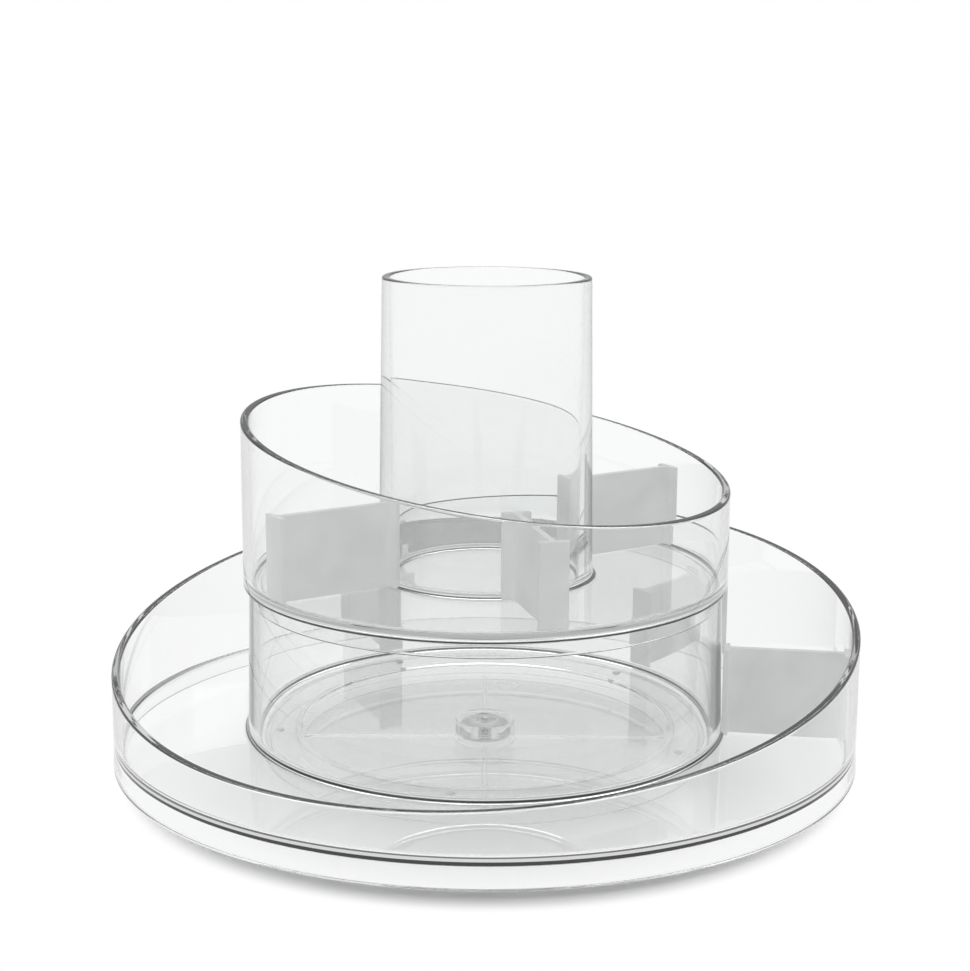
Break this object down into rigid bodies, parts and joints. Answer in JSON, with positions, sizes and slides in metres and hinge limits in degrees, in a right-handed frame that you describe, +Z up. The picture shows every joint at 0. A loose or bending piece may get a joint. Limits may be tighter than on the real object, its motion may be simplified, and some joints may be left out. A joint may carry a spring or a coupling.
{
  "type": "rotating desk organizer",
  "caption": "Clear round desk organizer whose slant-rimmed tray turns on a low foot, with a lift-off upper tray and pen cup over a hidden compartment, and sliding dividers.",
  "frame": {"origin": "on the table, on the axis that the trays turn about", "axes": "+Z up, along the spin axis; -Y towards the front, +X to the right; the lower rim is lowest at the front left"},
  "size_m": [0.2554, 0.2554, 0.1656],
  "materials": {
    "clear_plastic": "clear moulded styrene, polished",
    "frosted_plastic": "frosted translucent, satin",
    "glide_plastic": "smooth natural nylon",
    "clear_rubber": "soft clear elastomer, satin",
    "steel": "zinc plated, turned"
  },
  "bodies": {
    "foot": {"turntable_foot": "clear_plastic", "glide_1": "glide_plastic", "glide_2": "glide_plastic", "glide_3": "glide_plastic", "glide_4": "glide_plastic", "glide_5": "glide_plastic", "bumper_1": "clear_rubber", "bumper_2": "clear_rubber", "bumper_3": "clear_rubber", "bumper_4": "clear_rubber", "bumper_5": "clear_rubber"},
    "tray": {"lower_tray": "clear_plastic", "hub_washer": "steel", "hub_screw": "steel"},
    "lid": {"upper_tray": "clear_plastic"},
    "upper_divider_1": {"upper_divider_1": "frosted_plastic"},
    "upper_divider_2": {"upper_divider_2": "frosted_plastic"},
    "upper_divider_3": {"upper_divider_3": "frosted_plastic"},
    "lower_divider_1": {"lower_divider_1": "frosted_plastic"},
    "lower_divider_2": {"lower_divider_2": "frosted_plastic"},
    "lower_divider_3": {"lower_divider_3": "frosted_plastic"}
  },
  "joints": [
    {"name": "tray_spin", "type": "hinge", "parent": "foot", "child": "tray", "pos_m": [0, 0, 0], "axis": [0, 0, 1], "continuous": true},
    {"name": "lid_lift", "type": "slide", "parent": "tray", "child": "lid", "axis": [0, 0, 1], "range_m": [0, 0.06]},
    {"name": "upper_divider_1_slide", "type": "hinge", "parent": "lid", "child": "upper_divider_1", "pos_m": [0, 0, 0.078], "axis": [0, 0, 1], "range_deg": [-45, 80]},
    {"name": "upper_divider_2_slide", "type": "hinge", "parent": "lid", "child": "upper_divider_2", "pos_m": [0, 0, 0.078], "axis": [0, 0, 1], "range_deg": [-80, 27]},
    {"name": "upper_divider_3_slide", "type": "hinge", "parent": "lid", "child": "upper_divider_3", "pos_m": [0, 0, 0.078], "axis": [0, 0, 1], "range_deg": [-27, 45]},
    {"name": "lower_divider_1_slide", "type": "hinge", "parent": "tray", "child": "lower_divider_1", "pos_m": [0, 0, 0.028], "axis": [0, 0, 1], "range_deg": [-14, 21]},
    {"name": "lower_divider_2_slide", "type": "hinge", "parent": "tray", "child": "lower_divider_2", "pos_m": [0, 0, 0.028], "axis": [0, 0, 1], "range_deg": [-21, 32]},
    {"name": "lower_divider_3_slide", "type": "hinge", "parent": "tray", "child": "lower_divider_3", "pos_m": [0, 0, 0.028], "axis": [0, 0, 1], "range_deg": [-32, 44]}
  ]
}
